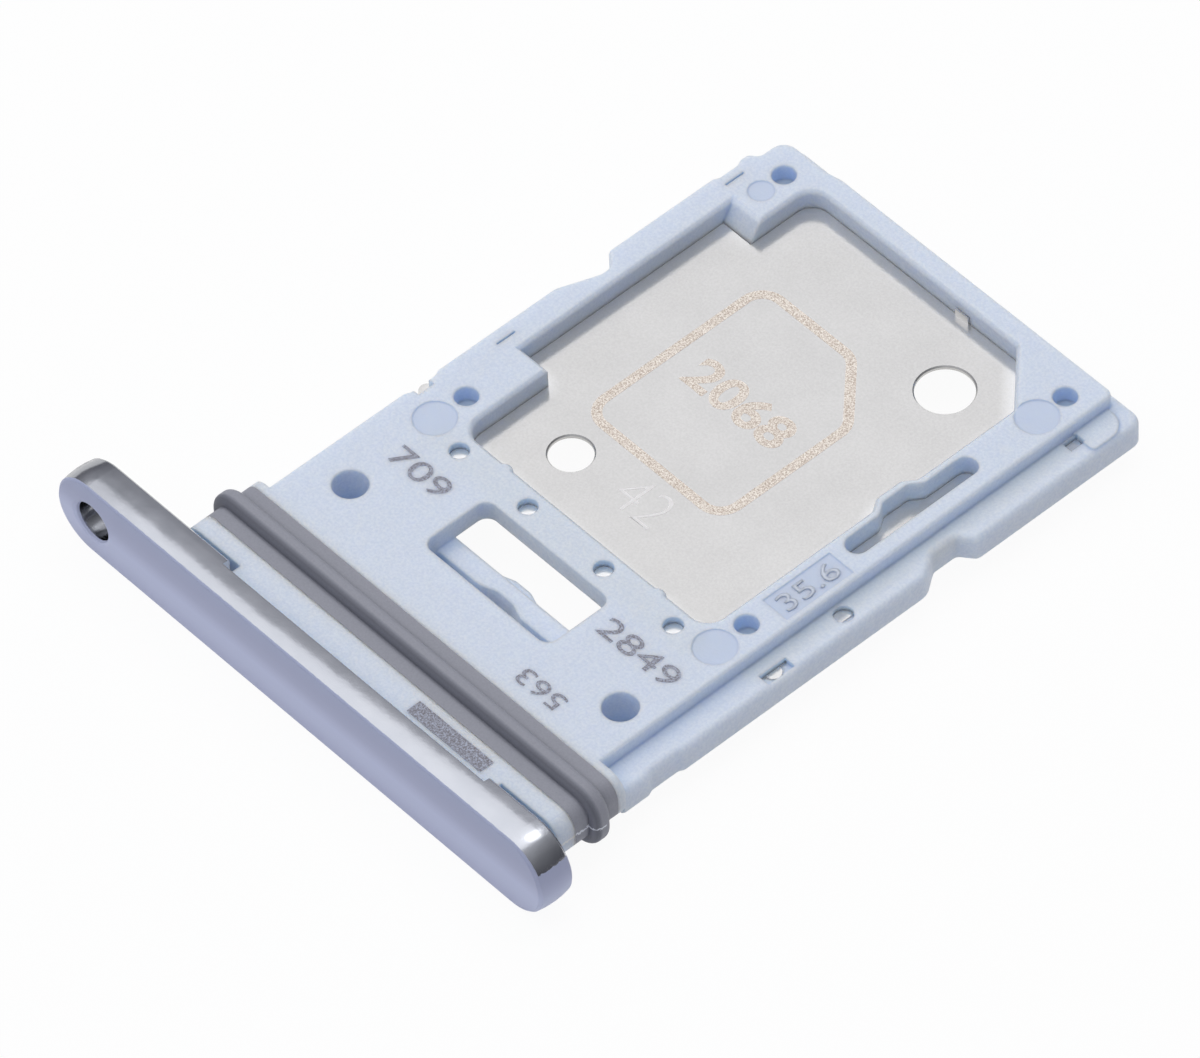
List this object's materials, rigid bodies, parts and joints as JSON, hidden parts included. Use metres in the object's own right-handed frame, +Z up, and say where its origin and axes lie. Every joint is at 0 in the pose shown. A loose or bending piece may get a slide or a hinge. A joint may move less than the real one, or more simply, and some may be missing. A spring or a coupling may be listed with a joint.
{
  "type": "sim card tray",
  "caption": "Double-sided card tray of a phone: moulded frame over a stamped steel floor, round-ended cap with an eject bore, and a lipped seal.",
  "frame": {"origin": "under the middle of the whole tray, on the level of the cap's lowest line, which is what the tray rests on", "axes": "+X along the cap, away from its eject bore; +Y from the cap into the phone; +Z up, out of the SIM pocket"},
  "size_m": [0.0194, 0.0226, 0.0026],
  "materials": {
    "cap_metal": "satin lavender paint on the face, polished metal on the side",
    "frame_plastic": "fine matte moulded",
    "floor_steel": "fine matte",
    "seal_rubber": "matte"
  },
  "bodies": {
    "root": {"cap": "cap_metal", "tray_frame": "frame_plastic", "floor_plate": "floor_steel", "seal": "seal_rubber"}
  },
  "joints": []
}
